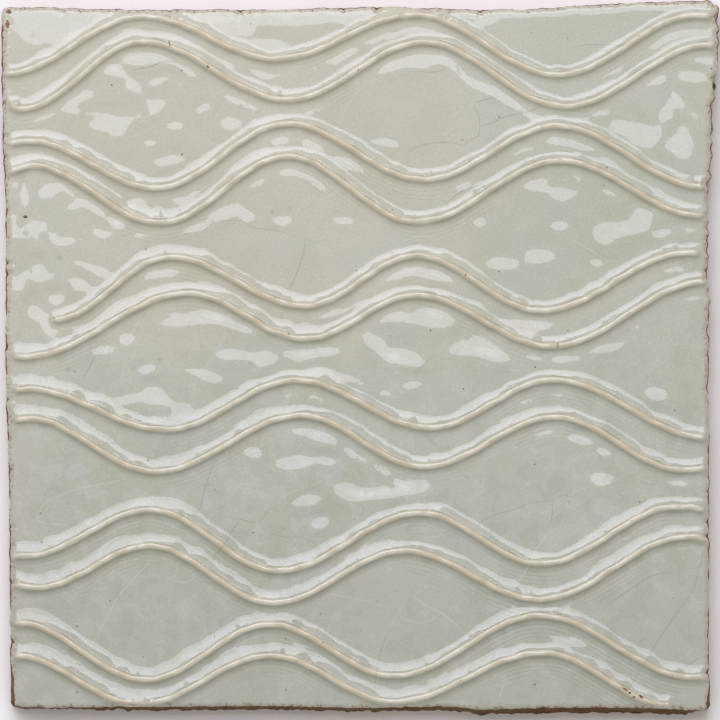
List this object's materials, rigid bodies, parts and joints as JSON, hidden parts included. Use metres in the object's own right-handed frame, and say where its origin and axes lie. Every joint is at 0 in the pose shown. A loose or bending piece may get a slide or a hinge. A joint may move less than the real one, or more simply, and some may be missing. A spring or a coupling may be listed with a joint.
{
  "type": "glazed_wall_tile",
  "caption": "Square hand-pressed ceramic wall tile with pairs of raised wavy ribs under a glossy crackled grey-green glaze",
  "frame": {"origin": "middle of the flat back, in the plane it lies on", "axes": "+Z out of the glazed face, +X along the ribs towards the blunt corner, +Y towards the wider edge"},
  "size_m": [0.1524, 0.1518, 0.0113],
  "materials": {
    "glazed_clay": "glossy crackled glaze over fired clay"
  },
  "bodies": {
    "root": {"tile": "glazed_clay"}
  },
  "joints": []
}
